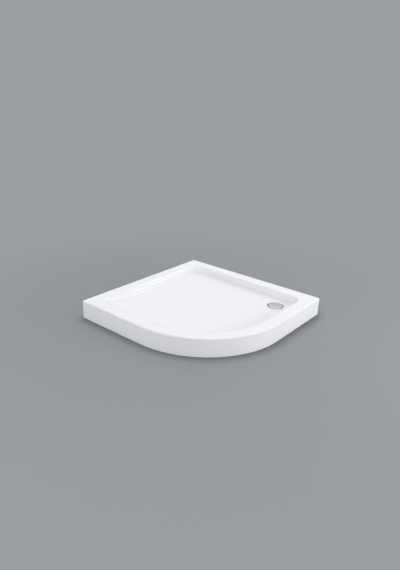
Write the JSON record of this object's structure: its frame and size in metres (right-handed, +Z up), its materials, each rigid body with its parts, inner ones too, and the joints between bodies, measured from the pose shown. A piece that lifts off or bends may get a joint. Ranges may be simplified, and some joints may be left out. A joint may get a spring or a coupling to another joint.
{
  "type": "quadrant shower tray",
  "caption": "Quadrant shower tray with a flat rim, a skirted quarter-round front and a sunk basin that drains to a round waste, on screw feet.",
  "frame": {"origin": "on the floor, under the middle of the plan", "axes": "+Z up, +Y to the back wall side, -X to the left wall side, quarter-round front towards +X and -Y"},
  "size_m": [0.9, 0.9, 0.1],
  "materials": {
    "white_acrylic": "vacuum-formed gloss acrylic sheet",
    "glass_fibre": "sprayed glass-fibre and polyester resin",
    "rigid_foam": "poured rigid foam",
    "chipboard": "moisture-resistant chipboard",
    "black_nylon": "moulded nylon",
    "zinc_steel": "zinc-plated steel",
    "seal_rubber": "moulded rubber",
    "clear_silicone": "moulded silicone",
    "white_polypropylene": "moulded polypropylene",
    "satin_chrome": "satin chrome-plated"
  },
  "bodies": {
    "tray": {"tray_shell": "white_acrylic", "glassfibre_backing": "glass_fibre", "foam_bed": "rigid_foam", "base_board": "chipboard", "socket_screws": "zinc_steel", "waste_flange": "satin_chrome", "waste_upper_seal": "seal_rubber", "waste_lower_seal": "seal_rubber", "waste_body": "white_polypropylene", "foot_socket_rear": "black_nylon", "foot_lock_nut_rear": "zinc_steel", "foot_socket_left": "black_nylon", "foot_lock_nut_left": "zinc_steel", "foot_socket_back": "black_nylon", "foot_lock_nut_back": "zinc_steel", "foot_socket_right": "black_nylon", "foot_lock_nut_right": "zinc_steel", "foot_socket_front_right": "black_nylon", "foot_lock_nut_front_right": "zinc_steel", "foot_socket_front_left": "black_nylon", "foot_lock_nut_front_left": "zinc_steel", "foot_socket_centre": "black_nylon", "foot_lock_nut_centre": "zinc_steel"},
    "strainer": {"strainer_basket": "white_polypropylene", "odour_membrane": "clear_silicone"},
    "cover": {"waste_cover": "satin_chrome"},
    "pad_rear": {"foot_pad_rear": "black_nylon"},
    "stud_rear": {"foot_stud_rear": "zinc_steel"},
    "pad_left": {"foot_pad_left": "black_nylon"},
    "stud_left": {"foot_stud_left": "zinc_steel"},
    "pad_back": {"foot_pad_back": "black_nylon"},
    "stud_back": {"foot_stud_back": "zinc_steel"},
    "pad_right": {"foot_pad_right": "black_nylon"},
    "stud_right": {"foot_stud_right": "zinc_steel"},
    "pad_front_right": {"foot_pad_front_right": "black_nylon"},
    "stud_front_right": {"foot_stud_front_right": "zinc_steel"},
    "pad_front_left": {"foot_pad_front_left": "black_nylon"},
    "stud_front_left": {"foot_stud_front_left": "zinc_steel"},
    "pad_centre": {"foot_pad_centre": "black_nylon"},
    "stud_centre": {"foot_stud_centre": "zinc_steel"}
  },
  "joints": [
    {"name": "strainer_lift", "type": "slide", "parent": "tray", "child": "strainer", "axis": [0, 0, 1], "range_m": [0, 0.1]},
    {"name": "cover_lift", "type": "slide", "parent": "strainer", "child": "cover", "axis": [0, 0, 1], "range_m": [0, 0.08]},
    {"name": "foot_rear_height", "type": "slide", "parent": "tray", "child": "pad_rear", "axis": [0, 0, -1], "range_m": [-0.002, 0.007]},
    {"name": "foot_rear_turn", "type": "hinge", "parent": "pad_rear", "child": "stud_rear", "pos_m": [-0.30766, 0.30766, 0.01], "axis": [0, 0, -1], "range_deg": [-480, 1680]},
    {"name": "foot_left_height", "type": "slide", "parent": "tray", "child": "pad_left", "axis": [0, 0, -1], "range_m": [-0.002, 0.007]},
    {"name": "foot_left_turn", "type": "hinge", "parent": "pad_left", "child": "stud_left", "pos_m": [-0.30766, -0.30766, 0.01], "axis": [0, 0, -1], "range_deg": [-480, 1680]},
    {"name": "foot_back_height", "type": "slide", "parent": "tray", "child": "pad_back", "axis": [0, 0, -1], "range_m": [-0.002, 0.007]},
    {"name": "foot_back_turn", "type": "hinge", "parent": "pad_back", "child": "stud_back", "pos_m": [0.16566, 0.31766, 0.01], "axis": [0, 0, -1], "range_deg": [-480, 1680]},
    {"name": "foot_right_height", "type": "slide", "parent": "tray", "child": "pad_right", "axis": [0, 0, -1], "range_m": [-0.002, 0.007]},
    {"name": "foot_right_turn", "type": "hinge", "parent": "pad_right", "child": "stud_right", "pos_m": [0.31766, 0.16326, 0.01], "axis": [0, 0, -1], "range_deg": [-480, 1680]},
    {"name": "foot_front_right_height", "type": "slide", "parent": "tray", "child": "pad_front_right", "axis": [0, 0, -1], "range_m": [-0.002, 0.007]},
    {"name": "foot_front_right_turn", "type": "hinge", "parent": "pad_front_right", "child": "stud_front_right", "pos_m": [0.29542, -0.0948, 0.01], "axis": [0, 0, -1], "range_deg": [-480, 1680]},
    {"name": "foot_front_left_height", "type": "slide", "parent": "tray", "child": "pad_front_left", "axis": [0, 0, -1], "range_m": [-0.002, 0.007]},
    {"name": "foot_front_left_turn", "type": "hinge", "parent": "pad_front_left", "child": "stud_front_left", "pos_m": [0.0948, -0.29542, 0.01], "axis": [0, 0, -1], "range_deg": [-480, 1680]},
    {"name": "foot_centre_height", "type": "slide", "parent": "tray", "child": "pad_centre", "axis": [0, 0, -1], "range_m": [-0.002, 0.007]},
    {"name": "foot_centre_turn", "type": "hinge", "parent": "pad_centre", "child": "stud_centre", "pos_m": [-0.02, 0.02, 0.01], "axis": [0, 0, -1], "range_deg": [-480, 1680]}
  ],
  "couplings": [
    {"joint": "foot_rear_turn", "follows": "foot_rear_height", "rad_per_m": 4188.8},
    {"joint": "foot_left_turn", "follows": "foot_left_height", "rad_per_m": 4188.8},
    {"joint": "foot_back_turn", "follows": "foot_back_height", "rad_per_m": 4188.8},
    {"joint": "foot_right_turn", "follows": "foot_right_height", "rad_per_m": 4188.8},
    {"joint": "foot_front_right_turn", "follows": "foot_front_right_height", "rad_per_m": 4188.8},
    {"joint": "foot_front_left_turn", "follows": "foot_front_left_height", "rad_per_m": 4188.8},
    {"joint": "foot_centre_turn", "follows": "foot_centre_height", "rad_per_m": 4188.8}
  ]
}
